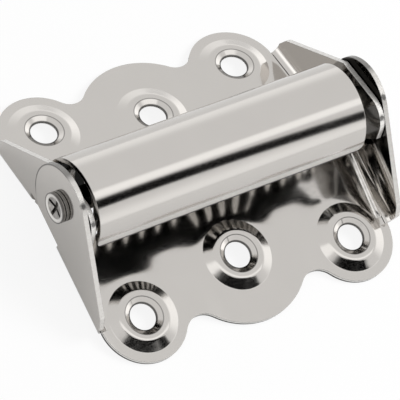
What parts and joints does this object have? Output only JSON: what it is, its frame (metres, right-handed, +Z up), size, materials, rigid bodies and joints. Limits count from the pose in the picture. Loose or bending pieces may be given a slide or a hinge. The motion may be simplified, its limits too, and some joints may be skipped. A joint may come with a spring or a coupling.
{
  "type": "spring hinge",
  "caption": "Full-surface screen-door spring hinge: scalloped stamped leaves with raised screw pads, a riveted pin and a torsion spring under a folded hood.",
  "frame": {"origin": "on the floor under the middle of the hinge, midway between the outer edges of the leaves", "axes": "+X along the pin towards its peened tail, +Y across the back leaf, away from the front leaf, +Z up"},
  "size_m": [0.076, 0.0632, 0.0264],
  "materials": {
    "plated_sheet": "polished",
    "plated_pin": "polished",
    "spring_wire": "satin"
  },
  "bodies": {
    "jamb_leaf": {"back_leaf": "plated_sheet", "torsion_spring": "spring_wire"},
    "door_leaf": {"front_leaf": "plated_sheet", "hinge_pin": "plated_pin"}
  },
  "joints": [
    {"name": "fold", "type": "hinge", "parent": "jamb_leaf", "child": "door_leaf", "pos_m": [0, 0, 0.01698], "axis": [-1, 0, 0], "range_deg": [0, 199], "stiffness_Nm_per_rad": 0.18, "deforming": ["torsion_spring"]}
  ]
}
